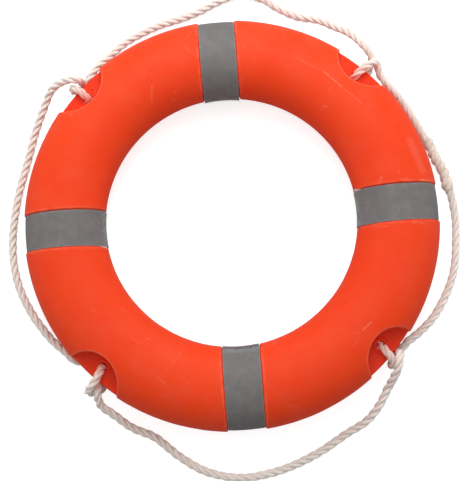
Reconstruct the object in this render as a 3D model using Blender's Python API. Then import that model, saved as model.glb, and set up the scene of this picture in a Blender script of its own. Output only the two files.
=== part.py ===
"""Ring lifebuoy: a foam-filled shell in two welded halves, four reflective bands and a grab line.

The ring lies flat with its axis along +Z, its rear face on z = 0 and its front face up. The bands sit on the
X and Y axes and the line's four eyes on the diagonals. Lengths are in metres, angles in degrees.
"""

import math

import bmesh
import bpy
import numpy as np
from mathutils import Matrix, Vector

# Ring
OUTER_RADIUS = 0.360
SECTION_HALF_WIDTH = 0.0705
THICKNESS = 0.105
RING_STEPS = 48
SECTION_SIDES = 16
WALL = 0.003
GAP = 0.0003

# Band grooves and the two layers in each
GROOVE_HALF_WIDTH = 0.032
GROOVE_DEPTH = 0.004
BACKING_HALF_WIDTH = 0.0315
BACKING_DEPTHS = (0.0032, 0.0037)
TAPE_HALF_WIDTH = 0.031
TAPE_DEPTHS = (0.0021, 0.0029)
END_GAP_HEIGHT = 0.0008

# Eyes: a round pocket from each face leaves a web at mid-thickness with a hole through it
POCKET_RADIUS = 0.052
POCKET_CENTRE = 0.367
WEB_HALF = 0.0042
WEB_EDGE = 0.357
RIM_CLEARANCE = 0.0006
HOLE_RADIUS = 0.010
HOLE_CENTRE = 0.334
COLLAR_RADIUS = 0.014
COLLAR_HEIGHT = 0.0015

# Plugs in the rear face: angle, head radius, stem radius
FILL_PLUG = (22.5, 0.0125, 0.009)
VENT_PLUG = (202.5, 0.007, 0.004)
PLUG_SINK = 0.0009
HEAD_THICKNESS = 0.0018
STEM_END = 0.010
BOSS_TOP = 0.007
BOSS_RIM = 0.0035
PLUG_BEVEL = 0.0005
PLUG_SEGMENTS = 16

# Grab line
LINE_RADIUS = 0.00725
LEG_STEPS = 16
LONGEST_STEP = 0.032
MOST_TURN = 24.0
SPLICE_FROM = 21.0
SPLICE_TO = 3.5
SPLICE_RADIUS = 0.0107
SPLICE_BORE = 0.0086
SPLICE_LIP = 0.0091
SPLICE_SIDES = 10
SPLICE_STRIDE = 9

CENTRE_RADIUS = OUTER_RADIUS - SECTION_HALF_WIDTH
MID_HEIGHT = THICKNESS / 2
BELOW = -0.02
ABOVE = THICKNESS + 0.02
BAND_BOX = (0.18, 0.13)
BAND_ANGLES = {"right": 0.0, "top": 90.0, "left": 180.0, "bottom": 270.0}
EYE_ANGLES = {"lower_right": -45.0, "lower_left": -135.0, "upper_left": -225.0, "upper_right": -315.0}

# The line's route, clockwise from the splice, in mm. Along a span each point is (angle, radius, height above
# the floor). At an eye it is (outward from the hole, towards larger angles, above mid-thickness), in one list
# under the web and one over it. Through the hole, which joins them, it is (outward, away from mid-thickness).
RIGHT_SPAN_LOWER = [(2.4, 395, 10.4), (-3, 398, 8.5), (-9, 399, 8), (-16.5, 401, 8), (-23.5, 397, 9),
                    (-30.3, 389, 14), (-35.9, 377, 22)]
LOWER_RIGHT_OVER = [(33, 38, -25), (33, 25, -28), (33, 12, -29.5), (34, 0, -27.5), (35, -9, -19),
                    (35, -12, -8), (33, -10, 3.5), (27, -6, 12), (18, -3.5, 14.5)]
LOWER_RIGHT_UNDER = [(13, 6, -15.2), (24, 10.5, -14), (30, 11.5, -6), (31, 11.5, 4), (31.5, 9.2, 15.5),
                     (35.5, 1, 22), (40.5, -7, 21.5), (45.5, -17, 15.5), (50, -29, 5), (54, -42, -6)]
BOTTOM_SPAN = [(-56.3, 403, 35), (-60.7, 411, 23), (-65.8, 413, 12.5), (-74, 424, 8), (-83, 436, 8),
               (-92, 441, 8), (-100, 433, 8), (-107, 415, 8), (-114, 396, 9), (-120, 396, 13),
               (-125.6, 391, 21)]
LOWER_LEFT_UNDER = [(53, 38, -21), (46, 28, -9), (39, 21, -2.5), (32, 17, -4.5), (26.5, 14, -12),
                    (13, 8, -15.2)]
LOWER_LEFT_OVER = [(18, 5.5, 15), (29, 7, 13), (39, 7, 8), (46, 7, -2), (47, 10, -11), (44, 16, -20),
                   (35, 20, -27.5), (23, 14, -30.5), (13, 0, -30.5), (11, -16, -29.5), (16, -33, -27.5),
                   (26, -48, -26)]
LEFT_SPAN = [(-146.2, 369, 22), (-150.3, 377, 17.5), (-155, 383, 13.5), (-160.6, 389, 9.5),
             (-166.7, 394, 8), (-172, 396, 8), (-178, 395, 8), (-184.5, 392, 8), (-192.3, 389, 8.5),
             (-201.8, 389, 12.5), (-210.5, 394, 24.5), (-217.3, 398, 40)]
UPPER_LEFT_UNDER = [(63, 32, -1), (59, 17, 7.5), (52, 5, 13.5), (45.5, -1.5, 18.5), (39, -7, 20.5),
                    (33.5, -11.5, 17.5), (31, -14.3, 9), (30.7, -15, -1), (29, -14.5, -9), (23, -12.5, -14),
                    (13, -8, -15.2)]
UPPER_LEFT_OVER = [(18, 0, 14.5), (28, 1.5, 11.5), (34.5, 4, 3), (36, 5, -8), (36, 2, -20), (34, -8, -28.5),
                   (35, -22, -28.5), (36, -36, -25)]
TOP_SPAN = [(125.5, 378, 26), (121.2, 382, 20), (116.8, 390, 14.5), (111.5, 394, 10.5), (105.5, 397, 8),
            (99, 398, 8), (94.5, 404, 8), (90, 417, 8), (84, 432, 8), (77.6, 426, 8), (74.2, 415, 8),
            (68.7, 405, 9), (62.5, 407, 15), (57.7, 403, 24.5), (54.4, 402, 35), (51.2, 398, 43.5)]
UPPER_RIGHT_UNDER = [(60, 25, -4), (57.5, 12, -5), (54, 2, -9), (47, -4, -12.5), (38, -8, -14.5),
                     (29, -10, -15.2), (20, -9, -15.5), (12, -6.5, -15.2)]
UPPER_RIGHT_OVER = [(18, -3, 14.5), (29, -5, 13.5), (38, -8, 11.5), (44, -11.5, 7), (45.5, -15.5, 1.5),
                    (43.5, -20.5, -3), (40, -26, -7.5), (37.5, -33, -10.5), (36, -43, -14)]
RIGHT_SPAN_UPPER = [(35, 375, 33), (31.3, 377, 28), (27.2, 378, 22.5), (23.2, 380, 17.5), (19.3, 383, 14),
                    (14.7, 388, 12), (11, 390, 11.2), (6.5, 393, 10.8)]
HOLE_PASS = [(5, 12.2), (1.3, 8), (0, 3)]

ORANGE = (0.90, 0.09, 0.02, 1.0)
FOAM = (0.80, 0.66, 0.38, 1.0)
TAPE_GREY = (0.19, 0.18, 0.18, 1.0)
BACKING_WHITE = (0.72, 0.70, 0.66, 1.0)
ROPE_WHITE = (0.82, 0.76, 0.68, 1.0)


def clear_scene():
    for obj in list(bpy.data.objects):
        bpy.data.objects.remove(obj, do_unlink=True)


def material(name, colour, roughness):
    made = bpy.data.materials.new(name)
    made.use_nodes = True
    shader = made.node_tree.nodes["Principled BSDF"]
    shader.inputs["Base Color"].default_value = colour
    shader.inputs["Roughness"].default_value = roughness
    shader.inputs["Metallic"].default_value = 0.0
    return made


def add_object(name, data, root=None, finish=None):
    obj = bpy.data.objects.new(name, data)
    bpy.context.scene.collection.objects.link(obj)
    if finish is not None:
        data.materials.append(finish)
    if root is not None:
        obj.parent = root
    return obj


def mesh_object(name, bm, root=None, finish=None):
    bmesh.ops.recalc_face_normals(bm, faces=bm.faces)
    mesh = bpy.data.meshes.new(name)
    bm.to_mesh(mesh)
    bm.free()
    mesh.shade_smooth()
    mesh.set_sharp_from_angle(angle=math.radians(40))
    return add_object(name, mesh, root, finish)


def as_cutter(obj):
    obj.hide_render = True
    obj.display_type = "WIRE"
    return obj


def boolean(obj, other, operation="DIFFERENCE"):
    modifier = obj.modifiers.new(f"{operation.lower()} {other.name}", "BOOLEAN")
    modifier.operation = operation
    modifier.solver = "EXACT"
    modifier.object = other


def turned_to(angle):
    return Matrix.Rotation(math.radians(angle), 4, "Z")


# Ring section and the solids turned from it


def section_point(side, depth):
    """A corner of the many-sided oval section, that far under the skin, as (radius, height)."""
    flat = math.cos(math.pi / SECTION_SIDES)
    wide, high = SECTION_HALF_WIDTH / flat, MID_HEIGHT / flat
    turn = 2 * math.pi * (side + 0.5) / SECTION_SIDES
    normal = Vector((math.cos(turn) / wide, math.sin(turn) / high)).normalized()
    corner = Vector((wide * math.cos(turn), high * math.sin(turn)))
    inward = corner - normal * (depth / flat)
    return CENTRE_RADIUS + inward.x, MID_HEIGHT + inward.y


def section(depth):
    return [section_point(side, depth) for side in range(SECTION_SIDES)]


def half_section(above):
    """Half the outer section, closed along the weld plane."""
    sides = range(SECTION_SIDES // 2) if above else range(SECTION_SIDES // 2, SECTION_SIDES)
    points = [section_point(side, 0.0) for side in sides]
    weld = MID_HEIGHT + (GAP / 2 if above else -GAP / 2)
    return [(points[0][0], weld), *points, (points[-1][0], weld)]


def turned_solid(points):
    bm = bmesh.new()
    verts = [bm.verts.new((radius, 0.0, height)) for radius, height in points]
    edges = [bm.edges.new((verts[i - 1], verts[i])) for i in range(len(verts))]
    bmesh.ops.spin(bm, geom=verts + edges, cent=(0, 0, 0), axis=(0, 0, 1), angle=2 * math.pi,
                   steps=RING_STEPS, use_merge=True)
    return bm


def turned_ring(name, depth):
    return as_cutter(mesh_object(name, turned_solid(section(depth))))


# Cutters for the grooves and eyes


def add_box(bm, angle, radius, size, height=MID_HEIGHT):
    place = turned_to(angle) @ Matrix.Translation((radius, 0, height)) @ Matrix.Diagonal((*size, 1))
    bmesh.ops.create_cube(bm, size=1, matrix=place)


def add_cylinder(bm, angle, centre, radius, low, high, segments=40):
    place = turned_to(angle) @ Matrix.Translation((centre, 0, (low + high) / 2))
    bmesh.ops.create_cone(bm, cap_ends=True, segments=segments, radius1=radius, radius2=radius,
                          depth=high - low, matrix=place)


def band_sleeves(name, half_width, depth):
    """What lies outside a ring that far under the skin, across the width of each band."""
    bm = bmesh.new()
    for angle in BAND_ANGLES.values():
        add_box(bm, angle, CENTRE_RADIUS, (BAND_BOX[0], 2 * half_width, BAND_BOX[1]))
    sleeves = as_cutter(mesh_object(name, bm))
    boolean(sleeves, turned_ring(f"{name}_ring", depth))
    return sleeves


def at_each_eye(name, centre, radius, low, high, segments=40):
    bm = bmesh.new()
    for angle in EYE_ANGLES.values():
        add_cylinder(bm, angle, centre, radius, low, high, segments)
    return as_cutter(mesh_object(name, bm))


def pockets(name, above):
    """The round pockets of one face, leaving the web and the collar round its hole."""
    web = MID_HEIGHT + (WEB_HALF if above else -WEB_HALF)
    cutter = at_each_eye(name, POCKET_CENTRE, POCKET_RADIUS, *((web, ABOVE) if above else (BELOW, web)))
    top = web + (COLLAR_HEIGHT if above else -COLLAR_HEIGHT)
    collar = (MID_HEIGHT, top) if above else (top, MID_HEIGHT)
    boolean(cutter, at_each_eye(f"{name}_collar", HOLE_CENTRE, COLLAR_RADIUS, *collar))
    return cutter


def web_rim():
    """Trims the webs back a little inside the ring's outer edge."""
    reach = WEB_HALF + RIM_CLEARANCE
    cutter = at_each_eye("cut_web_rim", POCKET_CENTRE, POCKET_RADIUS + RIM_CLEARANCE, MID_HEIGHT - reach,
                         MID_HEIGHT + reach)
    bm = bmesh.new()
    bmesh.ops.create_cone(bm, cap_ends=True, segments=2 * RING_STEPS, radius1=WEB_EDGE, radius2=WEB_EDGE,
                          depth=0.2, matrix=Matrix.Translation((0, 0, MID_HEIGHT)))
    boolean(cutter, as_cutter(mesh_object("cut_web_disc", bm)))
    return cutter


def add_plug_seats(bm, clearance):
    """Bosses inside the rear wall that the plugs pass through."""
    for angle, head, _stem in (FILL_PLUG, VENT_PLUG):
        add_cylinder(bm, angle, CENTRE_RADIUS, head + BOSS_RIM + clearance, BELOW, BOSS_TOP + clearance,
                     PLUG_SEGMENTS)


def hollow(name, clearance):
    """The space inside the walls, shrunk by a clearance: it goes round the grooves, eyes and plug bosses."""
    ring = turned_ring(name, WALL + clearance)
    grooves = band_sleeves(f"{name}_grooves", GROOVE_HALF_WIDTH + WALL + clearance,
                           GROOVE_DEPTH + WALL + clearance)
    boolean(ring, grooves)
    eyes = at_each_eye(f"{name}_eyes", POCKET_CENTRE, POCKET_RADIUS + WALL + clearance, BELOW,
                       ABOVE)
    boolean(ring, eyes)
    bm = bmesh.new()
    add_plug_seats(bm, clearance)
    boolean(ring, as_cutter(mesh_object(f"{name}_bosses", bm)))
    return ring


# Shell, core and plugs


def shell(name, above, cutters, root, finish):
    half = mesh_object(name, turned_solid(half_section(above)), root, finish)
    boolean(half, pockets(f"cut_{name}_pockets", above))
    for cutter in cutters:
        boolean(half, cutter)
    return half


def plug_bores():
    """A counterbore for each plug's head and a bore for its stem."""
    bm = bmesh.new()
    seat = PLUG_SINK + HEAD_THICKNESS + GAP
    for angle, head, _stem in (FILL_PLUG, VENT_PLUG):
        add_cylinder(bm, angle, CENTRE_RADIUS, head + GAP, BELOW, seat, PLUG_SEGMENTS)
    bores = as_cutter(mesh_object("cut_plug_heads", bm))
    bm = bmesh.new()
    for angle, _head, stem in (FILL_PLUG, VENT_PLUG):
        add_cylinder(bm, angle, CENTRE_RADIUS, stem + GAP, BELOW, STEM_END + GAP, PLUG_SEGMENTS)
    return bores, as_cutter(mesh_object("cut_plug_stems", bm))


def plug(name, size, root, finish):
    """A push-in plug: a flat head with a bevelled rim on a straight stem."""
    angle, head, stem = size
    top = PLUG_SINK + HEAD_THICKNESS
    outline = [(0.0, PLUG_SINK), (head - PLUG_BEVEL, PLUG_SINK), (head, PLUG_SINK + PLUG_BEVEL), (head, top),
               (stem, top), (stem, STEM_END - PLUG_BEVEL), (stem - PLUG_BEVEL, STEM_END), (0.0, STEM_END)]
    bm = bmesh.new()
    verts = [bm.verts.new((radius, 0.0, height)) for radius, height in outline]
    edges = [bm.edges.new((verts[i], verts[i + 1])) for i in range(len(verts) - 1)]
    bmesh.ops.spin(bm, geom=verts + edges, cent=(0, 0, 0), axis=(0, 0, 1), angle=2 * math.pi,
                   steps=PLUG_SEGMENTS, use_merge=True)
    bmesh.ops.remove_doubles(bm, verts=bm.verts, dist=1e-6)
    made = mesh_object(name, bm, root, finish)
    made.location = turned_to(angle) @ Vector((CENTRE_RADIUS, 0, 0))
    return made


# Bands


def band_layer(name, angle, half_width, depths, root, finish):
    """A strip once round the section, its ends meeting at the middle of the ring's inner side."""
    strip = mesh_object(name, turned_solid(section(depths[0])), root, finish)
    bm = bmesh.new()
    add_box(bm, angle, CENTRE_RADIUS, (BAND_BOX[0], 2 * half_width, BAND_BOX[1]))
    boolean(strip, as_cutter(mesh_object(f"keep_{name}", bm)), "INTERSECT")
    boolean(strip, turned_ring(f"cut_{name}_inside", depths[1]))
    bm = bmesh.new()
    inner_side = CENTRE_RADIUS - SECTION_HALF_WIDTH
    add_box(bm, angle, inner_side, (0.03, 0.1, END_GAP_HEIGHT))
    boolean(strip, as_cutter(mesh_object(f"cut_{name}_ends", bm)))
    return strip


# Grab line


def on_span(point):
    angle, radius, height = point
    return turned_to(angle) @ Vector((radius / 1000, 0, height / 1000))


def at_eye(angle, point):
    outward, along, above = (value / 1000 for value in point)
    return turned_to(angle) @ Vector((HOLE_CENTRE + outward, along, MID_HEIGHT + above))


def hole_pass(before, after):
    """The points through an eye's hole, turning in from the last one before it and out to the first after."""
    sign = math.copysign(1, before[2])
    down = [(outward, before[1] * outward / before[0], sign * height) for outward, height in HOLE_PASS]
    up = [(outward, after[1] * outward / after[0], -sign * height) for outward, height in HOLE_PASS]
    return [*down, (0, 0, 0), *reversed(up)]


def route():
    """The closed route's points, and the index of the point at each eye's hole."""
    legs = [("lower_right", RIGHT_SPAN_LOWER, LOWER_RIGHT_OVER, LOWER_RIGHT_UNDER),
            ("lower_left", BOTTOM_SPAN, LOWER_LEFT_UNDER, LOWER_LEFT_OVER),
            ("upper_left", LEFT_SPAN, UPPER_LEFT_UNDER, UPPER_LEFT_OVER),
            ("upper_right", TOP_SPAN, UPPER_RIGHT_UNDER, UPPER_RIGHT_OVER)]
    points, holes = [], []
    for eye, span, before, after in legs:
        points += [on_span(point) for point in span]
        holes.append(len(points) + len(before) + len(HOLE_PASS))
        through = hole_pass(before[-1], after[0])
        points += [at_eye(EYE_ANGLES[eye], point) for point in [*before, *through, *after]]
    points += [on_span(point) for point in RIGHT_SPAN_UPPER]
    return np.array(points), holes


def smooth_closed(points):
    """A closed centripetal Catmull-Rom curve through the points, in LEG_STEPS steps from each to the next."""
    count = len(points)
    curve = []
    for i in range(count):
        p0, p1, p2, p3 = (points[(i + k) % count] for k in (-1, 0, 1, 2))
        t0 = 0.0
        t1 = t0 + math.sqrt(np.linalg.norm(p1 - p0))
        t2 = t1 + math.sqrt(np.linalg.norm(p2 - p1))
        t3 = t2 + math.sqrt(np.linalg.norm(p3 - p2))
        for t in np.linspace(t1, t2, LEG_STEPS, endpoint=False):
            a1 = (t1 - t) / (t1 - t0) * p0 + (t - t0) / (t1 - t0) * p1
            a2 = (t2 - t) / (t2 - t1) * p1 + (t - t1) / (t2 - t1) * p2
            a3 = (t3 - t) / (t3 - t2) * p2 + (t - t2) / (t3 - t2) * p3
            b1 = (t2 - t) / (t2 - t0) * a1 + (t - t0) / (t2 - t0) * a2
            b2 = (t3 - t) / (t3 - t1) * a2 + (t - t1) / (t3 - t1) * a3
            curve.append((t2 - t) / (t2 - t1) * b1 + (t - t1) / (t2 - t1) * b2)
    return np.array(curve)


def between(curve, start, end):
    """The curve's points from one index to another, going on past its end, cut back by half a gap."""
    count = len(curve)
    if end <= start:
        end += count
    line = curve[np.arange(start, end + 1) % count]
    for first, second in ((0, 1), (-1, -2)):
        away = line[second] - line[first]
        line[first] = line[first] + away / np.linalg.norm(away) * GAP / 2
    return line


def thinned(line):
    """Keeps a point where the line has run far enough or turned enough since the last one kept.

    The straight stretch at each end, inside an eye's hole, is kept whole, so that the cut faces meet square.
    """
    last = len(line) - 1
    kept, run = [0, LEG_STEPS], 0.0
    directions = np.diff(line, axis=0)
    directions /= np.linalg.norm(directions, axis=1)[:, None]
    for i in range(LEG_STEPS + 1, last - LEG_STEPS):
        run += np.linalg.norm(line[i] - line[i - 1])
        turn = math.degrees(math.acos(np.clip(directions[i] @ directions[kept[-1]], -1, 1)))
        if run >= LONGEST_STEP or turn >= MOST_TURN:
            kept.append(i)
            run = 0.0
    if run < LINE_RADIUS / 2:
        kept.pop()
    return line[kept + [last - LEG_STEPS, last]]


def line_tube(name, line, root, finish):
    data = bpy.data.curves.new(name, "CURVE")
    data.dimensions = "3D"
    data.bevel_depth = LINE_RADIUS
    data.bevel_resolution = 2
    data.use_fill_caps = True
    spline = data.splines.new("POLY")
    spline.points.add(len(line) - 1)
    for point, place in zip(spline.points, line):
        point.co = (*place, 1.0)
    return add_object(name, data, root, finish)


def ring_of(centre, forward, radius):
    side = Vector((0, 0, 1)).cross(forward).normalized()
    up = forward.cross(side)
    turns = [2 * math.pi * i / SPLICE_SIDES for i in range(SPLICE_SIDES)]
    return [centre + radius * (math.cos(turn) * side + math.sin(turn) * up) for turn in turns]


def splice_sleeve(curve, root, finish):
    """The strands tucked over the line where its two ends meet: a sleeve that swells in its middle."""
    angles = np.degrees(np.arctan2(curve[:, 1], curve[:, 0]))
    inside = curve[(angles < SPLICE_FROM) & (angles > SPLICE_TO)]
    inside = [Vector(point) for point in inside[::SPLICE_STRIDE]]
    bm = bmesh.new()
    outer, inner = [], []
    for i, centre in enumerate(inside):
        forward = (inside[min(i + 1, len(inside) - 1)] - inside[max(i - 1, 0)]).normalized()
        swell = math.sin(math.pi * i / (len(inside) - 1)) ** 0.5
        radius = SPLICE_LIP + (SPLICE_RADIUS - SPLICE_LIP) * swell
        outer.append([bm.verts.new(place) for place in ring_of(centre, forward, radius)])
        inner.append([bm.verts.new(place) for place in ring_of(centre, forward, SPLICE_BORE)])
    rows = outer + inner[::-1]
    for row, following in zip(rows, rows[1:] + rows[:1]):
        for i in range(SPLICE_SIDES):
            j = (i + 1) % SPLICE_SIDES
            bm.faces.new((row[i], row[j], following[j], following[i]))
    return mesh_object("line_splice", bm, root, finish)


def grab_line(root, finish):
    points, holes = route()
    curve = smooth_closed(points)
    cuts = [hole * LEG_STEPS for hole in holes]
    for name, start, end in zip(("bottom", "left", "top", "right"), cuts, cuts[1:] + cuts[:1]):
        line_tube(f"line_{name}", thinned(between(curve, start, end)), root, finish)
    splice_sleeve(curve, root, finish)


def main():
    clear_scene()
    root = add_object("lifebuoy", None)
    orange = material("orange_polyethylene", ORANGE, 0.45)
    foam = material("rigid_foam", FOAM, 0.9)
    tape = material("grey_reflective_tape", TAPE_GREY, 0.6)
    backing = material("white_tape_backing", BACKING_WHITE, 0.8)
    rope = material("white_laid_rope", ROPE_WHITE, 0.85)

    cavity = hollow("cut_cavity", 0.0)
    grooves = band_sleeves("cut_grooves", GROOVE_HALF_WIDTH, GROOVE_DEPTH)
    holes = at_each_eye("cut_line_holes", HOLE_CENTRE, HOLE_RADIUS, BELOW, ABOVE, 24)
    shared = [cavity, grooves, web_rim(), holes]
    heads, stems = plug_bores()
    shell("front_shell", True, shared, root, orange)
    shell("rear_shell", False, [*shared, heads, stems], root, orange)

    core = hollow("foam_core", GAP)
    core.hide_render = False
    core.display_type = "TEXTURED"
    core.parent = root
    core.data.materials.append(foam)
    boolean(core, stems)
    plug("fill_plug", FILL_PLUG, root, orange)
    plug("vent_plug", VENT_PLUG, root, orange)

    for name, angle in BAND_ANGLES.items():
        band_layer(f"band_backing_{name}", angle, BACKING_HALF_WIDTH, BACKING_DEPTHS, root, backing)
        band_layer(f"band_tape_{name}", angle, TAPE_HALF_WIDTH, TAPE_DEPTHS, root, tape)
    grab_line(root, rope)


main()
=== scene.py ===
import math
import random

import bmesh
import bpy
import numpy as np
from mathutils import Matrix, Vector


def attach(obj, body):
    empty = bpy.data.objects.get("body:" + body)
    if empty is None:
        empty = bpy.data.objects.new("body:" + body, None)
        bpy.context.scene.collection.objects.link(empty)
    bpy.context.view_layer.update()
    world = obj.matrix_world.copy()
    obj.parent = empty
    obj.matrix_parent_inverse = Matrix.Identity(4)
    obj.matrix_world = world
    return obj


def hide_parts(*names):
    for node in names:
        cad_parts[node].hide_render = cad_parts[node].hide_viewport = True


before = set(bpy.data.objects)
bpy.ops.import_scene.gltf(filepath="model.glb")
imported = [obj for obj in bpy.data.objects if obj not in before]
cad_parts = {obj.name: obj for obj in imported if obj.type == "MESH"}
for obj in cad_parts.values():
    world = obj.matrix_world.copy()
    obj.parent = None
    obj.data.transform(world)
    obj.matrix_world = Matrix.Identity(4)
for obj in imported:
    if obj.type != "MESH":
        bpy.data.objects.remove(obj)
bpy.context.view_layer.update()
print("frame loaded:", len(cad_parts), "nodes")


def linked(name, data):
    made = bpy.data.objects.new(name, data)
    bpy.context.scene.collection.objects.link(made)
    return made


# Camera

camera = {
    "place": (0.0229, -0.2447, 1.4904),
    "target": (0.0074, -0.0369, 0.0525),
    "roll": -4.38,  # degrees, about the line of sight
    "lens": 62.84,
    "sensor": 36.0,
    "clip": (0.05, 20.0),
}


def makeCamera():
    data = bpy.data.cameras.new("camera")
    data.lens, data.sensor_width = camera["lens"], camera["sensor"]
    data.clip_start, data.clip_end = camera["clip"]
    made = linked("camera", data)
    back = (Vector(camera["place"]) - Vector(camera["target"])).normalized()
    roll = math.radians(camera["roll"])
    side = Vector((-math.sin(roll), math.cos(roll), 0)).cross(back).normalized()
    turn = Matrix((side, back.cross(side), back)).transposed().to_4x4()
    made.matrix_world = Matrix.Translation(camera["place"]) @ turn
    bpy.context.scene.camera = made


makeCamera()
print("camera placed")


# The rope's route, clockwise from its splice, in degrees and mm. Along a span each point is (angle, radius,
# height above the floor). At an eye it is (out from the hole, towards larger angles, above mid-thickness).

rope = {
    "radius": 0.00725,
    "lay": 0.048,  # one turn of a strand
    "stationStep": 0.0023,
    "strandShare": 0.49,  # a strand's radius as a share of the rope's
    "sides": 20,
    "yarns": 5,
    "yarnDepth": 0.042,
    "unevenness": 0.045,
    "fibresPerMetre": 1400,
    "fibreLength": (0.0015, 0.0046),
    "fibreRadius": 0.00009,
    "floorGap": 0.0004,
}
holePass = [(5, 12.2), (1.3, 8), (0, 3)]
spans = {
    "lowerRight": [(2.4, 395, 10.4), (-3, 398, 8.5), (-9, 399, 8), (-16.5, 401, 8), (-23.5, 397, 9),
                   (-30.3, 389, 14), (-35.9, 377, 22)],
    "lowerLeft": [(-56.3, 405.5, 35), (-60.7, 414.5, 23), (-65.8, 416, 12.5), (-74, 426, 8), (-83, 436, 8),
                  (-92, 441, 8), (-100, 433, 8), (-107, 415, 8), (-114, 396, 9), (-120, 396, 13),
                  (-125.6, 391, 21)],
    "upperLeft": [(-146.2, 367.5, 22), (-150.3, 375, 17.5), (-155, 381.5, 13.5), (-160.6, 388.5, 9.5),
                  (-166.7, 394, 8), (-172, 396, 8), (-178, 395, 8), (-184.5, 392, 8), (-192.3, 389, 8.5),
                  (-201.8, 387.5, 12.5), (-210.5, 392.5, 24.5), (-217.3, 397, 40)],
    "upperRight": [(125.5, 378, 26), (121.2, 382, 20), (116.8, 390, 14.5), (111.5, 394, 10.5),
                   (105.5, 397, 8), (99, 398, 8), (94.5, 404, 8), (90, 417, 8), (84, 432, 8), (77.6, 426, 8),
                   (74.2, 415, 8), (68.7, 406.5, 9), (62.5, 410.5, 15), (57.7, 407.5, 24.5),
                   (54.4, 405.5, 35), (51.2, 400, 43.5)],
    "last": [(35, 374.5, 33), (31.3, 376.5, 28), (27.2, 377, 22.5), (23.2, 378, 17.5), (19.3, 380, 14),
             (14.7, 384.5, 12), (11, 387.5, 11.2), (6.5, 392.5, 10.8)],
}
eyes = {  # angle, then the points before and after the hole
    "lowerRight": (-45, [(33, 38, -25), (33, 25, -28), (33, 12, -29.5), (34, 0, -27.5), (35, -9, -19),
                         (35, -12, -8), (33, -10, 3.5), (27, -6, 12), (18, -3.5, 14.5)],
                   [(13, 6, -15.2), (24, 10.5, -14), (30, 11.5, -6), (31, 11.5, 4), (31.5, 9.2, 15.5),
                    (35.5, 1, 22), (40.5, -7, 21.5), (45.5, -17, 15.5), (50, -29, 5), (54, -42, -6)]),
    "lowerLeft": (-135, [(53, 38, -21), (46, 28, -9), (39, 21, -2.5), (32, 17, -4.5), (26.5, 14, -12),
                         (13, 8, -15.2)],
                  [(18, 5.5, 15), (29, 7, 13), (39, 7, 8), (46, 7, -2), (47, 10, -11), (44, 16, -20),
                   (35, 20, -27.5), (23, 14, -30.5), (13, 0, -30.5), (11, -16, -29.5), (16, -33, -27.5),
                   (26, -48, -26)]),
    "upperLeft": (-225, [(63, 32, -1), (59, 17, 7.5), (52, 5, 13.5), (45.5, -1.5, 18.5), (39, -7, 20.5),
                         (33.5, -11.5, 17.5), (31, -14.3, 9), (30.7, -15, -1), (29, -14.5, -9),
                         (23, -12.5, -14), (13, -8, -15.2)],
                  [(18, 0, 14.5), (28, 1.5, 11.5), (34.5, 4, 3), (36, 5, -8), (36, 2, -20), (34, -8, -28.5),
                   (35, -22, -28.5), (36, -36, -25)]),
    "upperRight": (-315, [(60, 25, -4), (57.5, 12, -5), (54, 2, -9), (47, -4, -12.5), (38, -8, -14.5),
                          (29, -10, -15.2), (20, -9, -15.5), (12, -6.5, -15.2)],
                   [(18, -3, 14.5), (29, -5, 13.5), (38, -8, 11.5), (44, -11.5, 7), (45.5, -15.5, 1.5),
                    (43.5, -20.5, -3), (40, -26, -7.5), (37.5, -33, -10.5), (36, -43, -14)]),
}
loops = {"bottom": 0.81, "left": 0.85, "top": 0.80, "right": 0.76}  # each loop's length between its two holes
ring = {
    "centreRadius": 0.2895,
    "halfWidth": 0.0705,
    "midHeight": 0.0525,
    "holeCentre": 0.334,
    "holeRadius": 0.0075,
    "collarRadius": 0.0130,
    "collarHeight": 0.0022,
    "webHalf": 0.0042,
    "webEdge": 0.357,
    "pocketCentre": 0.367,
    "pocketRadius": 0.052,
    "bigPocket": (0.366, 0.0535),  # the upper left one's centre and radius
    "grooveHalf": 0.032,
    "grooveDepth": 0.004,
    "shoulder": 0.0030,  # this and the next seven: how wide each edge or corner is rounded over
    "grooveCorner": 0.0012,
    "webRim": 0.0030,
    "webSide": 0.0010,
    "pocketRim": 0.0024,
    "pocketFloor": 0.0030,
    "collarRim": 0.0010,
    "collarFoot": 0.0014,
    "holeLip": 0.0024,
    "webReach": 0.0040,  # how far the web runs in past the pocket's wall
    "seamGap": 0.0004,
    "seamBead": 0.0005,
    "cell": 0.0018,
    "sampled": (0.2155, 0.3645),  # the radii that the skin lies between
}


def onSpan(point):
    angle, radius, height = point
    turn = math.radians(angle)
    return np.array((radius * math.cos(turn), radius * math.sin(turn), height)) / 1000


def atEye(angle, point):
    outward, along, above = (value / 1000 for value in point)
    turn = math.radians(angle)
    reach = ring["holeCentre"] + outward
    return np.array((reach * math.cos(turn) - along * math.sin(turn),
                     reach * math.sin(turn) + along * math.cos(turn), ring["midHeight"] + above))


def throughHole(before, after):
    sign = math.copysign(1, before[2])
    down = [(out, before[1] * out / before[0], sign * height) for out, height in holePass]
    up = [(out, after[1] * out / after[0], -sign * height) for out, height in holePass]
    return [*down, (0, 0, 0), *reversed(up)]


def ropeRoute():
    points, holes = [], []
    for name, (angle, before, after) in eyes.items():
        points += [onSpan(point) for point in spans[name]]
        holes.append(len(points) + len(before) + len(holePass))
        through = throughHole(before[-1], after[0])
        points += [atEye(angle, point) for point in [*before, *through, *after]]
    return np.array(points + [onSpan(point) for point in spans["last"]]), holes


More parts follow.
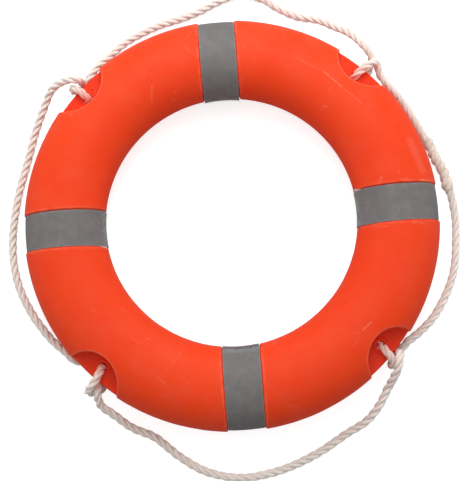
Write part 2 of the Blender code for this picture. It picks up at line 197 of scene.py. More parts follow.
def smoothClosed(points, steps):
    # a closed centripetal Catmull-Rom curve through the points
    count, curve = len(points), []
    for i in range(count):
        p0, p1, p2, p3 = (points[(i + k) % count] for k in (-1, 0, 1, 2))
        t1 = math.sqrt(np.linalg.norm(p1 - p0))
        t2 = t1 + math.sqrt(np.linalg.norm(p2 - p1))
        t3 = t2 + math.sqrt(np.linalg.norm(p3 - p2))
        t = np.linspace(t1, t2, steps, endpoint=False)[:, None]
        a1 = (t1 - t) / t1 * p0 + t / t1 * p1
        a2 = (t2 - t) / (t2 - t1) * p1 + (t - t1) / (t2 - t1) * p2
        a3 = (t3 - t) / (t3 - t2) * p2 + (t - t2) / (t3 - t2) * p3
        b1 = (t2 - t) / t2 * a1 + t / t2 * a2
        b2 = (t3 - t) / (t3 - t1) * a2 + (t - t1) / (t3 - t1) * a3
        curve.append((t2 - t) / (t2 - t1) * b1 + (t - t1) / (t2 - t1) * b2)
    return np.concatenate(curve)


def unit(vectors):
    return vectors / np.linalg.norm(vectors, axis=-1, keepdims=True)


def layRope():
    # even stations round the closed route, a frame at each that doesn't twist, and where the holes fall
    points, holes = ropeRoute()
    steps = 16  # in each stretch between two of the route's points
    curve = smoothClosed(points, steps)
    closed = np.vstack([curve, curve[:1]])
    run = np.concatenate([[0], np.cumsum(np.linalg.norm(np.diff(closed, axis=0), axis=1))])
    count = int(round(run[-1] / rope["stationStep"]))
    along = np.arange(count) * run[-1] / count
    centre = np.stack([np.interp(along, run, closed[:, axis]) for axis in range(3)], axis=1)
    forward = unit(np.roll(centre, -1, axis=0) - np.roll(centre, 1, axis=0))
    side = np.zeros_like(centre)
    side[0] = unit(np.cross(forward[0], (0, 0, 1)))
    for i in range(1, count):
        side[i] = unit(side[i - 1] - forward[i] * (side[i - 1] @ forward[i]))
    closing = unit(side[-1] - forward[0] * (side[-1] @ forward[0]))
    slip = math.atan2(np.cross(closing, side[0]) @ forward[0], closing @ side[0])
    turns = round(run[-1] / rope["lay"])
    phase = (2 * math.pi * turns + slip) * along / run[-1]
    cuts = [int(round(run[hole * steps] / run[-1] * count)) for hole in holes]
    return {"centre": centre, "forward": forward, "side": side, "phase": phase, "along": along, "cuts": cuts,
            "rate": (2 * math.pi * turns + slip) / run[-1], "length": run[-1]}


def meshPiece(name, points, faces, attributes=None, normals=None, caps=()):
    # faces all have four corners, and each cap has as many as it lists
    data = bpy.data.meshes.new(name)
    faces = np.asarray(faces, np.int32)
    corners = np.concatenate([faces.ravel(), *(np.asarray(cap, np.int32) for cap in caps)])
    sizes = np.array([4] * len(faces) + [len(cap) for cap in caps], np.int32)
    data.vertices.add(len(points))
    data.vertices.foreach_set("co", np.asarray(points, np.float32).ravel())
    data.loops.add(len(corners))
    data.loops.foreach_set("vertex_index", corners)
    data.polygons.add(len(sizes))
    data.polygons.foreach_set("loop_start", np.cumsum(sizes, dtype=np.int32) - sizes)
    data.update(calc_edges=True)
    data.validate()
    data.shade_smooth()
    for label, values in (attributes or {}).items():
        made = data.attributes.new(label, "FLOAT", "POINT")
        made.data.foreach_set("value", np.asarray(values, np.float32))
    if normals is not None:
        data.normals_split_custom_set_from_vertices(np.asarray(normals, np.float32))
    return linked(name, data)


def wave(seed, values, shortest, count=5):
    # smooth wandering values, about -1 to 1, the same each run
    draw = random.Random(seed)
    total = np.zeros(len(values))
    for k in range(count):
        length = shortest * (1.7 ** k)
        total += math.sqrt(1 + k) * np.sin(2 * math.pi * values / length + draw.uniform(0, 2 * math.pi))
    return total / (1.4 * count)


def tubeFaces(rows, sides, first=0):
    i, j = np.meshgrid(np.arange(rows - 1), np.arange(sides), indexing="ij")
    a, b = i * sides + j, i * sides + (j + 1) % sides
    return (np.stack([a, b, b + sides, a + sides], axis=-1).reshape(-1, 4) + first).tolist()


def tubeCaps(rows, sides, first=0):
    last = first + (rows - 1) * sides
    return [range(first + sides - 1, first - 1, -1), range(last, last + sides)]


stain = {"from": 0.006, "fade": 0.034}  # how far from an eye's hole the stain starts to fade, and over what


def eyeStain(points):
    # how close each point is to an eye's hole, 1 at the hole
    near = np.zeros(len(points))
    for angle, _before, _after in eyes.values():
        reach = np.linalg.norm(points - atEye(angle, (0, 0, 0)), axis=1)
        near = np.maximum(near, np.clip(1 - (reach - stain["from"]) / stain["fade"], 0, 1))
    return near


def strandTube(laid, rows, turn, offset, thick, angles, yarn, yarnDepth):
    # a strand that winds round the rope's middle, its surface rippled by its yarns
    side, forward = laid["side"][rows], laid["forward"][rows]
    outward = np.cos(turn)[:, None] * side + np.sin(turn)[:, None] * np.cross(forward, side)
    heading = unit(forward + (offset * laid["rate"])[:, None] * np.cross(forward, outward))
    cross = np.cross(heading, outward)
    centre = laid["centre"][rows] + offset[:, None] * outward
    reach = thick[:, None] * (1 - yarnDepth * (0.5 - 0.5 * np.cos(yarn)))
    points = (centre[:, None, :] + (reach * np.cos(angles))[..., None] * outward[:, None, :]
              + (reach * np.sin(angles))[..., None] * cross[:, None, :])
    return points.reshape(-1, 3)


def strandPoints(laid, rows, strand):
    radius, share, uneven = rope["radius"], rope["strandShare"], rope["unevenness"]
    along = laid["along"][rows]
    swell = 1 + uneven * wave(10 + strand, along, 0.021)
    thick = radius * share * swell
    offset = (radius * (1 - share)) * (1 + 0.5 * uneven * wave(20 + strand, along, 0.03))
    turn = laid["phase"][rows] + strand * 2 * math.pi / 3 + 0.06 * wave(30 + strand, along, 0.05)
    angles = np.arange(rope["sides"]) * 2 * math.pi / rope["sides"]
    drift = offset.mean() * laid["rate"] / thick.mean()  # keeps the yarns in line with the rope
    yarn = rope["yarns"] * (angles[None, :] + drift * along[:, None])
    points = strandTube(laid, rows, turn, offset, thick, angles, yarn, rope["yarnDepth"])
    return points, np.repeat(laid["centre"][rows], rope["sides"], axis=0), yarn.reshape(-1)


def addFibres(laid, rows, seed, points, faces, caps):
    # short loose fibres that stand off the strands, each a thin three-sided spike with a bend in it
    draw = random.Random(seed)
    length = len(rows) * laid["length"] / len(laid["along"])
    base = sum(len(block) for block in points)
    for _ in range(int(length * rope["fibresPerMetre"])):
        row = rows[draw.randrange(3, len(rows) - 3)]
        strand = draw.randrange(3)
        turn = laid["phase"][row] + strand * 2 * math.pi / 3 + draw.gauss(0, 0.7)
        forward, side = laid["forward"][row], laid["side"][row]
        outward = math.cos(turn) * side + math.sin(turn) * np.cross(forward, side)
        around = np.cross(forward, outward)
        root = laid["centre"][row] + outward * rope["radius"] * draw.uniform(0.86, 0.96)
        reach = draw.uniform(*rope["fibreLength"])
        lean = forward * draw.choice((-1, 1)) * draw.uniform(0.6, 1.6) + around * draw.uniform(-0.8, 0.8)
        middle = root + unit(outward * draw.uniform(0.3, 0.9) + lean) * reach * 0.55
        tip = middle + unit(outward * draw.uniform(-0.1, 0.7) + lean) * reach * 0.45
        if min(middle[2], tip[2]) < rope["floorGap"]:
            continue
        heading = unit(tip - root)
        first = unit(np.cross(heading, forward + 0.3 * outward))
        second = np.cross(heading, first)
        corners = [first * math.cos(k * 2.0944) + second * math.sin(k * 2.0944) for k in range(3)]
        thin = rope["fibreRadius"]
        points.append(np.array([root + c * thin for c in corners] + [middle + c * thin * 0.8 for c in corners]
                               + [tip + c * thin * 0.35 for c in corners]))
        for level in (0, 3):
            for k in range(3):
                n = (k + 1) % 3
                faces.append([base + level + k, base + level + n, base + level + 3 + n, base + level + 3 + k])
        caps += tubeCaps(3, 3, base)
        base += 9


wornRope = {"angle": 12.0, "half": 5.5, "fade": 12.0}  # the soiled stretch round the splice, in degrees


def ropeLoop(name, laid, first, last):
    count = len(laid["along"])
    rows = [i % count for i in range(first, last + 1)]
    points, faces, caps, yarns, depths = [], [], [], [], []
    for strand in range(3):
        made, axis, yarn = strandPoints(laid, rows, strand)
        faces += tubeFaces(len(rows), rope["sides"], strand * len(made))
        caps += tubeCaps(len(rows), rope["sides"], strand * len(made))
        points.append(made)
        yarns.append(yarn)
        # how near the rope's middle each point lies, for the painted shade between the strands
        depths.append(np.linalg.norm(made - axis, axis=1) / rope["radius"])
    strandCount = sum(len(block) for block in points)
    addFibres(laid, rows, name, points, faces, caps)
    points = np.concatenate(points)
    extra = len(points) - strandCount
    yarns = np.concatenate([*yarns, np.zeros(extra)])
    depths = np.concatenate([*depths, np.ones(extra)])
    angles = np.degrees(np.arctan2(points[:, 1], points[:, 0]))
    worn = np.clip((wornRope["half"] - np.abs(angles - wornRope["angle"])) / wornRope["fade"] + 1, 0, 1)
    marks = {"yarn": yarns, "depth": depths, "stain": eyeStain(points), "worn": worn}
    piece = meshPiece(name, points, faces, marks, caps=caps)
    return piece, laid["centre"][rows]


laid = layRope()
print("rope laid:", round(laid["length"], 3), "m")


# The moulded skin. Its shape is a distance to the surface, below zero inside, sampled at levels round it

plugs = {"fillPlug": (22.5, 0.0125), "ventPlug": (202.5, 0.007)}  # angle, head radius
plugShape = {
    "sink": 0.0009,
    "seat": 0.0029,
    "clearance": 0.0005,
    "edge": 0.0006,
    "slotWidth": 0.0011,
    "slotDepth": 0.003,
    "slotLength": 1.3,  # of the head's radius
    "depth": 0.009,
}

# flash left along the inner seam at the top: angle and height of each lump
seamFlash = [(98.6, 0.0008), (102.2, 0.0016), (105.8, 0.0011), (109.6, 0.0014)]
flashAngles = np.linspace(94, 114, 81)
flashHeights = sum(height * np.exp(-((flashAngles - angle) / 1.25) ** 2) for angle, height in seamFlash)


def softMax(a, b, width):
    return np.maximum(a, b) + np.maximum(width - np.abs(a - b), 0) ** 2 / (4 * width)


def softMin(a, b, width):
    return -softMax(-a, -b, width)


def pocketDistance(x, y):
    # how far outside the nearest pocket's upright wall, below zero within it
    big = (x < 0) & (y > 0)
    centre = np.where(big, ring["bigPocket"][0], ring["pocketCentre"]) * math.sqrt(0.5)
    reach = np.where(big, ring["bigPocket"][1], ring["pocketRadius"])
    return np.hypot(np.abs(x) - centre, np.abs(y) - centre) - reach


def skinDistance(points):
    x, y, z = points[..., 0], points[..., 1], points[..., 2]
    radius, up = np.hypot(x, y), z - ring["midHeight"]
    wide, high = ring["halfWidth"], ring["midHeight"]
    across = radius - ring["centreRadius"]
    reach = np.sqrt((across / wide) ** 2 + (up / high) ** 2) + 1e-9
    slope = np.sqrt((across / wide ** 2) ** 2 + (up / high ** 2) ** 2) + 1e-9
    solid = reach * (reach - 1) / slope
    lateral = np.minimum(np.abs(x), np.abs(y))
    groove = softMax(lateral - ring["grooveHalf"], -(solid + ring["grooveDepth"]), ring["grooveCorner"])
    lump = np.interp(np.degrees(np.arctan2(y, x)), flashAngles, flashHeights)
    solid = solid - lump * (across < 0) * np.exp(-(up / 0.0026) ** 2)
    torus = softMax(solid, -groove, ring["shoulder"])
    pocket = pocketDistance(x, y)
    web = softMax(np.abs(up) - ring["webHalf"], radius - ring["webEdge"], ring["webRim"])
    web = np.maximum(softMax(web, torus, ring["webSide"]), pocket - ring["webReach"])
    shape = softMin(softMax(torus, -pocket, ring["pocketRim"]), web, ring["pocketFloor"])
    hole = ring["holeCentre"] * math.sqrt(0.5)
    fromHole = np.hypot(np.abs(x) - hole, np.abs(y) - hole)
    collarTop = np.abs(up) - ring["webHalf"] - ring["collarHeight"]
    collar = softMax(fromHole - ring["collarRadius"], collarTop, ring["collarRim"])
    shape = softMin(shape, collar, ring["collarFoot"])
    shape = softMax(shape, ring["holeRadius"] - fromHole, ring["holeLip"])
    for angle, head in plugs.values():
        turn = math.radians(angle)
        reach = np.hypot(x - ring["centreRadius"] * math.cos(turn), y - ring["centreRadius"] * math.sin(turn))
        seat = np.maximum(reach - head - plugShape["clearance"], z - plugShape["seat"])
        shape = softMax(shape, -seat, plugShape["edge"])
    return shape


def skinSlope(points, step=0.0002):
    moves = np.eye(3) * step
    slope = np.stack([skinDistance(points + move) - skinDistance(points - move) for move in moves], axis=-1)
    return slope / (2 * step)


# degrees from one level to the next, and the degrees from a band's middle or an eye that count as near it
levelStep = {"eye": 0.24, "edge": 0.32, "plain": 1.1, "nearShoulder": (4.0, 9.6), "nearEye": 9.8, "perPlug": 250}


def ringLevels():
    # angles round the ring, closer together at the eyes, the grooves' shoulders, the flash and the plugs
    levels, angle = [], 0.0
    while angle < 360:
        levels.append(angle)
        part = angle % 90
        shoulder = levelStep["nearShoulder"][0] < min(part, 90 - part) < levelStep["nearShoulder"][1]
        flash = flashAngles[0] < angle < flashAngles[-1]
        plug = any(abs(angle - place) < levelStep["perPlug"] * head for place, head in plugs.values())
        if abs(part - 45) < levelStep["nearEye"]:
            angle += levelStep["eye"]
        else:
            angle += levelStep["edge" if shoulder or flash or plug else "plain"]
    return np.radians(np.array(levels) * 360 / angle)


def cornerOf(array, i, j, k):
    # the values at one corner of every cell
    rows, columns, layers = array.shape
    return array[i:rows - 1 + i, j:columns - 1 + j, k:layers - 1 + k]


def surfaceCells(field, levels):
    # one point in each cell that the surface passes through, and a face across each crossed edge
    inside = field < 0
    corners = [(i, j, k) for i in (0, 1) for j in (0, 1) for k in (0, 1)]
    filled = sum(cornerOf(inside, *c).astype(np.int8) for c in corners)
    mixed = (filled > 0) & (filled < 8)
    cells = np.argwhere(mixed)
    number = -np.ones(mixed.shape, np.int64)
    number[mixed] = np.arange(len(cells))
    total, hits = np.zeros((len(cells), 3)), np.zeros(len(cells))
    for c in corners:
        for axis in range(3):
            if c[axis]:
                continue
            other = tuple(v + (a == axis) for a, v in enumerate(c))
            one, two = cornerOf(field, *c)[mixed], cornerOf(field, *other)[mixed]
            crossed = (one < 0) != (two < 0)
            spot = np.tile(np.array(c, float), (crossed.sum(), 1))
            spot[:, axis] = one[crossed] / (one[crossed] - two[crossed])
            total[crossed] += spot
            hits[crossed] += 1
    place = cells + total / hits[:, None]
    coords = [np.interp(place[:, axis], np.arange(len(level)), level) for axis, level in enumerate(levels)]
    count = mixed.shape[0]
    faces = []
    for axis in range(3):
        b, c = [other for other in range(3) if other != axis]
        first = inside[tuple(slice(0, -1) if a == axis else slice(None) for a in range(3))]
        second = inside[tuple(slice(1, None) if a == axis else slice(None) for a in range(3))]
        spots = np.argwhere(first != second)
        if axis != 0:
            spots = spots[spots[:, 0] < count]  # the last level is the first one again
        around = []
        for db, dc in ((-1, -1), (0, -1), (0, 0), (-1, 0)):
            cell = spots.copy()
            cell[:, b] += db
            cell[:, c] += dc
            cell[:, 0] %= count
            around.append(number[tuple(cell.T)])
        faces.append(np.stack(around, axis=1))
    return coords, cells[:, 2], np.concatenate(faces)


def toSurface(points, times=1):
    for _ in range(times):
        slope = skinSlope(points)
        points = points - slope * (skinDistance(points) / np.maximum((slope ** 2).sum(axis=1), 0.3))[:, None]
    return points


def evenOut(points, faces):
    # draws each point towards its neighbours
    starts = np.concatenate([faces[:, i] for i in range(4)])
    ends = np.concatenate([faces[:, (i + 1) % 4] for i in range(4)])
    total = np.stack([np.bincount(starts, points[ends, axis], len(points))
                      + np.bincount(ends, points[starts, axis], len(points)) for axis in range(3)], axis=1)
    around = np.bincount(starts, minlength=len(points)) + np.bincount(ends, minlength=len(points))
    return total / around[:, None]


def facedOut(points, faces, normals):
    across = np.cross(points[faces[:, 2]] - points[faces[:, 0]], points[faces[:, 3]] - points[faces[:, 1]])
    inward = (across * normals[faces].sum(axis=1)).sum(axis=1) < 0
    return np.where(inward[:, None], faces[:, ::-1], faces)


def skinMarks(points, normals):
    # how far each point sticks out as an edge or lies sunk in a recess, and what is a pocket's rim or its web;
    # the material paints shade into the recesses and onto the webs, and a highlight along the rims
    depth = 0.004
    pocket, up = pocketDistance(points[:, 0], points[:, 1]), np.abs(points[:, 2] - ring["midHeight"])
    # rim: where the material paints a thin highlight along each pocket's rim
    rim = np.exp(-((pocket - 0.0006) / 0.0011) ** 2) * (up > ring["webHalf"] + 0.008)
    # web: where the material paints shade onto the web inside each pocket
    web = np.clip(-pocket / 0.003, 0, 1) * np.clip((0.022 - up) / 0.008, 0, 1)
    proud = np.clip((skinDistance(points - normals * depth) + depth) / (0.55 * depth), 0, 1)
    # sunk: where the material paints shade into recesses
    sunk = np.clip(-(skinDistance(points + normals * depth) - depth) / (0.55 * depth), 0, 1)
    return {"proud": proud, "sunk": sunk, "rim": rim, "web": web}


def buildSkin():
    cell = ring["cell"]
    around = ringLevels()
    outward = np.arange(*ring["sampled"], cell)
    half = (np.arange(int(ring["midHeight"] / cell) + 2) + 0.5) * cell
    upward = ring["midHeight"] + np.concatenate([-half[::-1], half])
    t, r, z = np.meshgrid(around, outward, upward, indexing="ij")
    field = skinDistance(np.stack([r * np.cos(t), r * np.sin(t), z], axis=-1))
    field = np.concatenate([field, field[:1]])
    levels = (np.append(around, 2 * math.pi), outward, upward)
    (turn, radius, height), rows, faces = surfaceCells(field, levels)
    points = np.stack([radius * np.cos(turn), radius * np.sin(turn), height], axis=1)
    points = toSurface(points, 3)
    for _ in range(3):
        points = toSurface(0.5 * points + 0.5 * evenOut(points, faces), 2)
    normals = unit(skinSlope(points))
    faces = facedOut(points, faces, normals)
    marks = skinMarks(points, normals)
    middle = (len(upward) - 1) // 2
    pieces = []
    for name, node, sign in (("frontSkin", "front_shell", 1), ("rearSkin", "rear_shell", -1)):
        level = np.sign(rows[faces] - middle)
        kept = faces[(level * sign >= 0).all(axis=1)]
        used, kept = np.unique(kept, return_inverse=True)
        kept = kept.reshape(-1, 4)
        spots = points[used].copy()
        seam = rows[used] == middle
        bead = ring["seamBead"] * (0.7 + 0.3 * wave(5, turn[used] * 0.25, 0.012))
        spots[seam] += normals[used][seam] * bead[seam][:, None]
        spots[seam, 2] = ring["midHeight"] + sign * ring["seamGap"] / 2
        own = {label: mark[used] for label, mark in marks.items()}
        piece = meshPiece(name, spots, kept, own, normals[used])
        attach(piece, "root")
        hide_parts(node)
        pieces.append(piece)
    return pieces


# the small moulded loop beside the upper left eye, its near end sunk in the web
nub = {
    "place": (-0.2282, 0.2498),
    "long": 0.0054,
    "wide": 0.0042,
    "thick": 0.0013,
    "lift": 0.0002,
    "tilt": 0.20,
    "around": 40,
    "sides": 10,
}


def buildNub():
    towards = math.atan2(nub["place"][1], nub["place"][0]) + math.pi / 2 - 2.2
    turn = np.arange(nub["around"] + 1) * 2 * math.pi / nub["around"]
    length, width = nub["long"] * np.cos(turn), nub["wide"] * np.sin(turn)
    x = nub["place"][0] + length * math.cos(towards) - width * math.sin(towards)
    y = nub["place"][1] + length * math.sin(towards) + width * math.cos(towards)
    z = ring["midHeight"] + ring["webHalf"] + nub["lift"] + nub["tilt"] * length
    centre = np.stack([x, y, z], axis=1)
    forward = unit(np.roll(centre[:-1], -1, axis=0) - np.roll(centre[:-1], 1, axis=0))
    forward = np.vstack([forward, forward[:1]])
    side = unit(np.cross(forward, (0, 0, 1)))
    up = np.cross(side, forward)
    ringTurn = np.arange(nub["sides"]) * 2 * math.pi / nub["sides"]
    points = centre[:, None, :] + nub["thick"] * (np.cos(ringTurn)[None, :, None] * side[:, None, :]
                                                  + np.sin(ringTurn)[None, :, None] * up[:, None, :])
    # half the painted rim highlight over the moulded loop
    rim = np.full(points.shape[0] * points.shape[1], 0.5)
    faces = tubeFaces(len(centre), nub["sides"])
    piece = meshPiece("mouldedLoop", points.reshape(-1, 3), faces, {"rim": rim})
    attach(piece, "root")
    return piece


skins = [*buildSkin(), buildNub()]
print("skin moulded:", [len(piece.data.polygons) for piece in skins], "faces")


# Bands: each is a grey tape over a pale backing, wrapped once round the section, its ends on the inner side

band = {
    "halfWidth": 0.031,
    "backingHalfWidth": 0.0306,
    "tapeThickness": 0.00055,
    "backingThickness": 0.0004,
    "depth": 0.0021,  # the tape's outer face, under the skin's outline
    "proud": 0.0011,  # how far it stands off on the inner side
    "curl": 0.0025,  # how far the pinked end stands off, and over what length
    "curlLength": 0.0020,
    "cornerLift": 0.0004,
    "wander": 0.00025,
    "ripple": 0.00012,
    "toothPitch": 0.0041,
    "backingTeeth": 0.0006,
    "backingGap": 0.0001,
    "columns": 97,
    "backingColumns": 49,
    "backingShort": 3.0,  # degrees of the section that the backing stops before the tape
    "rows": 76,
}
# angle, how far its backing has slipped sideways, depth of its teeth, and the section angles of its two ends,
# with 0 outward and 90 up
bands = {
    "Right": (0, 0.0046, 0.0022, (-171.0, 173.0)),
    "Top": (90, 0.0006, 0.0022, (-171.0, 187.0)),
    "Left": (180, 0.0036, 0.0022, (-171.0, 173.0)),
    "Bottom": (270, 0.0012, 0.0046, (-195.0, 163.0)),
}


def sectionPoint(angle, sunk):
    # radius and height of a point that far under the oval
    turn = np.radians(angle)
    wide, high = ring["halfWidth"], ring["midHeight"]
    normal = unit(np.stack([np.cos(turn) / wide, np.sin(turn) / high], axis=-1))
    return (ring["centreRadius"] + wide * np.cos(turn) - normal[..., 0] * sunk,
            ring["midHeight"] + high * np.sin(turn) - normal[..., 1] * sunk)


def bandFace(angles, lateral, sunk, direction):
    radius, height = sectionPoint(angles, sunk)
    forward = np.sqrt(np.maximum(radius ** 2 - lateral ** 2, 1e-6))
    turn = math.radians(direction)
    return np.stack([forward * math.cos(turn) - lateral * math.sin(turn),
                     forward * math.sin(turn) + lateral * math.cos(turn), height], axis=-1)


def stripFaces(rows, columns):
    # the outer face, the inner face and the four edges of a strip, both faces rows by columns
    i, j = np.meshgrid(np.arange(rows - 1), np.arange(columns - 1), indexing="ij")
    a = (i * columns + j).ravel()
    top = np.stack([a, a + 1, a + columns + 1, a + columns], axis=1)
    size = rows * columns
    faces = [top, top[:, ::-1] + size]
    rim = np.array([*range(columns), *[k * columns + columns - 1 for k in range(1, rows)],
                    *[(rows - 1) * columns + k for k in range(columns - 2, -1, -1)],
                    *[k * columns for k in range(rows - 2, 0, -1)]])
    after = np.roll(rim, -1)
    faces.append(np.stack([after, rim, rim + size, after + size], axis=1))
    return np.concatenate(faces)


def bandStrip(name, node, direction, halfWidth, lift, thickness, teeth, skew, ends):
    rows, columns = band["rows"], band["columns"] if teeth else band["backingColumns"]
    rearEnd, frontEnd = ends
    share = np.linspace(0, 1, rows)[:, None]
    across = np.linspace(-1, 1, columns)[None, :]
    lateral = across * halfWidth
    pitch = band["toothPitch"]
    tooth = np.abs((lateral / pitch) % 1 - 0.5) * 2 * (teeth or band["backingTeeth"])
    cutEnd = frontEnd - np.degrees(tooth / ring["halfWidth"]) - (0 if teeth else band["backingShort"])
    angles = rearEnd + share * (cutEnd - rearEnd)
    inner = np.clip((np.abs(angles) - 128) / 42, 0, 1) ** 2
    sunk = band["depth"] - (band["depth"] + band["proud"]) * inner + lift
    corner = np.clip((angles - 160) / 12, 0, 1) * np.abs(across) ** 6
    fromEnd = np.radians(frontEnd - angles) * ring["halfWidth"]
    if teeth:
        sunk = sunk - band["cornerLift"] * corner - band["curl"] * np.exp(-fromEnd / band["curlLength"])
    seed = sum(ord(letter) for letter in name)
    wander = wave(seed, angles[:, :1].ravel(), 24)[:, None] * band["wander"]
    slip = skew * np.clip((angles - frontEnd + 27) / 22, 0, 1) ** 1.5
    lateral = lateral + wander * np.sign(across) * np.abs(across) ** 4 + slip
    ripple = band["ripple"] * np.sin(angles / 11 + across * 2.1) * np.clip(1 - np.abs(across) ** 6, 0, 1)
    upper = bandFace(angles, lateral, sunk + ripple, direction)
    lower = bandFace(angles, lateral, sunk + ripple + thickness, direction)
    points = np.concatenate([upper.reshape(-1, 3), lower.reshape(-1, 3)])
    border = np.maximum(np.abs(across) ** 30, np.exp(-(1 - share) * rows / 2.2)) + 0 * angles
    faces = stripFaces(rows, columns)[:, ::-1]
    piece = meshPiece(name, points, faces, {"proud": np.tile(border.ravel(), 2)})
    piece.data.set_sharp_from_angle(angle=math.radians(50))
    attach(piece, "root")
    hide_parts(node)
    return piece


tapes, backings = [], []
for label, (direction, skew, teeth, ends) in bands.items():
    tapes.append(bandStrip(f"tape{label}", f"band_tape_{label.lower()}", direction,
                           band["halfWidth"], 0.0, band["tapeThickness"], teeth, 0.0, ends))
    backings.append(bandStrip(f"backing{label}", f"band_backing_{label.lower()}", direction,
                              band["backingHalfWidth"], band["tapeThickness"] + band["backingGap"],
                              band["backingThickness"], 0, skew, ends))
print("bands wrapped:", len(tapes))


# Plugs in the rear face: a round head with a bevelled rim, a shallow ring and a coin slot

def buildPlug(name, node, angle, head):
    low, seat = plugShape["sink"], plugShape["seat"]
    outline = [(0.0, low + 0.0004), (head * 0.62, low + 0.0004), (head * 0.66, low), (head - 0.0006, low),
               (head - 0.0002, low + 0.0002), (head, low + 0.0006), (head, seat - 0.0004), (head * 0.7, seat),
               (head * 0.7, plugShape["depth"]), (0.0, plugShape["depth"])]
    bm = bmesh.new()
    verts = [bm.verts.new((radius, 0, height)) for radius, height in outline]
    edges = [bm.edges.new(pair) for pair in zip(verts, verts[1:])]
    bmesh.ops.spin(bm, geom=verts + edges, cent=(0, 0, 0), axis=(0, 0, 1), angle=2 * math.pi, steps=64,
                   use_merge=True)
    bmesh.ops.remove_doubles(bm, verts=bm.verts, dist=2e-5)
    bmesh.ops.recalc_face_normals(bm, faces=bm.faces)
    data = bpy.data.meshes.new(name)
    bm.to_mesh(data)
    bm.free()
    data.shade_smooth()
    data.set_sharp_from_angle(angle=math.radians(35))
    piece = linked(name, data)
    turn = math.radians(angle)
    piece.location = (ring["centreRadius"] * math.cos(turn), ring["centreRadius"] * math.sin(turn), 0)
    bm = bmesh.new()
    slotSize = (head * plugShape["slotLength"], plugShape["slotWidth"], plugShape["slotDepth"], 1)
    bmesh.ops.create_cube(bm, size=1, matrix=Matrix.Diagonal(slotSize))
    slotData = bpy.data.meshes.new("slotCutter")
    bm.to_mesh(slotData)
    bm.free()
    cutter = linked("slotCutter", slotData)
    cutter.location = piece.location
    cutter.hide_render = cutter.hide_viewport = True
    slotCut = piece.modifiers.new("slot", "BOOLEAN")
    slotCut.object, slotCut.solver = cutter, "EXACT"
    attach(piece, "root")
    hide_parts(node)
    return piece


plugPieces = [buildPlug("fillPlug", "fill_plug", *plugs["fillPlug"]),
              buildPlug("ventPlug", "vent_plug", *plugs["ventPlug"])]
print("plugs made")


# The rope: four loops between the eyes, and the strands tucked over it at its splice

splice = {
    "from": 20.8,  # angles round the ring
    "to": 2.8,
    "strandRadius": 0.0035,
    "offset": 0.0066,
    "weave": 0.0012,
    "tuckPitch": 0.026,
    "taper": 0.010,
    "lateStart": 0.0035,  # how much later each strand starts than the one before
    "lumps": [(0.010, 0.0012), (0.099, 0.0014)],  # how far along, and how much thicker
    "lumpLength": 0.008,
    "sides": 14,
    "yarns": 5,
    "yarnTurn": 150,  # radians a metre
    "yarnDepth": 0.10,
}


def spliceStrands(laid):
    centre, count = laid["centre"], len(laid["centre"])
    angles = np.degrees(np.arctan2(centre[:, 1], centre[:, 0]))
    rows = np.flatnonzero((angles < splice["from"]) & (angles > splice["to"]))
    rows = np.concatenate([rows[rows > count // 2], rows[rows <= count // 2]])
    along = np.arange(len(rows)) * rope["stationStep"]
    lump = sum(more * np.exp(-((along - spot) / splice["lumpLength"]) ** 2) for spot, more in splice["lumps"])
    sides = splice["sides"]
    turnRound = np.arange(sides) * 2 * math.pi / sides
    points, faces, caps, yarns = [], [], [], []
    for strand in range(3):
        late = splice["lateStart"] * strand
        ends = np.clip(np.minimum(along - late, along[-1] - late - along) / splice["taper"], 0.02, 1) ** 0.6
        turn = laid["phase"][rows] + (strand + 0.5) * 2 * math.pi / 3 + 0.2 * wave(50 + strand, along, 0.03)
        weave = np.sin(along * 2 * math.pi / splice["tuckPitch"] + strand * 2.1)
        offset = splice["offset"] * (0.80 + 0.20 * ends) + (splice["weave"] * weave + 0.5 * lump) * ends
        thick = splice["strandRadius"] * ends * (1 + 0.08 * weave) + 0.5 * lump * ends
        yarn = splice["yarns"] * (turnRound[None, :] + splice["yarnTurn"] * along[:, None])
        faces += tubeFaces(len(rows), sides, strand * len(rows) * sides)
        caps += tubeCaps(len(rows), sides, strand * len(rows) * sides)
        points.append(strandTube(laid, rows, turn, offset, thick, turnRound, yarn, splice["yarnDepth"]))
        yarns.append(yarn.ravel())
    points = np.concatenate(points)
    points[:, 2] = np.maximum(points[:, 2], 0.0003)
    marks = {"yarn": np.concatenate(yarns), "depth": np.ones(len(points)), "worn": np.ones(len(points))}
    return meshPiece("ropeSplice", points, faces, marks, caps=caps)


spliceStrand = spliceStrands(laid)
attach(spliceStrand, "root")
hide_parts("line_splice")
ropes = [spliceStrand]
cuts = laid["cuts"]
for (label, length), first, last in zip(loops.items(), cuts, [*cuts[1:], cuts[0] + len(laid["along"])]):
    loop, path = ropeLoop(f"rope{label.capitalize()}", laid, first, last)
    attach(loop, "root")
    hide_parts(f"line_{label}")
    ropes.append(loop)
    print(f"rope {label}:", round(float(np.linalg.norm(np.diff(path, axis=0), axis=1).sum()), 3), "m")


# Materials

def fill(tree, node, sockets):
    # gives each socket a link or a plain value
    for name, value in sockets.items():
        if isinstance(value, bpy.types.NodeSocket):
            tree.links.new(value, node.inputs[name])
        else:
            node.inputs[name].default_value = value


def place(tree, kind, sockets=None, **settings):
    made = tree.nodes.new(kind)
    for name, value in settings.items():
        setattr(made, name, value)
    fill(tree, made, sockets or {})
    return made


def ownPlace(tree):
    return place(tree, "ShaderNodeTexCoord").outputs["Object"]


def vector(tree, operation, first, second, output=0):
    sockets = {0: first, 1: second}
    return place(tree, "ShaderNodeVectorMath", sockets, operation=operation).outputs[output]


def maths(tree, operation, first, second=0.0, clamp=False):
    sockets = {0: first, 1: second}
    return place(tree, "ShaderNodeMath", sockets, operation=operation, use_clamp=clamp).outputs[0]


def product(tree, first, second, clamp=False):
    return maths(tree, "MULTIPLY", first, second, clamp)


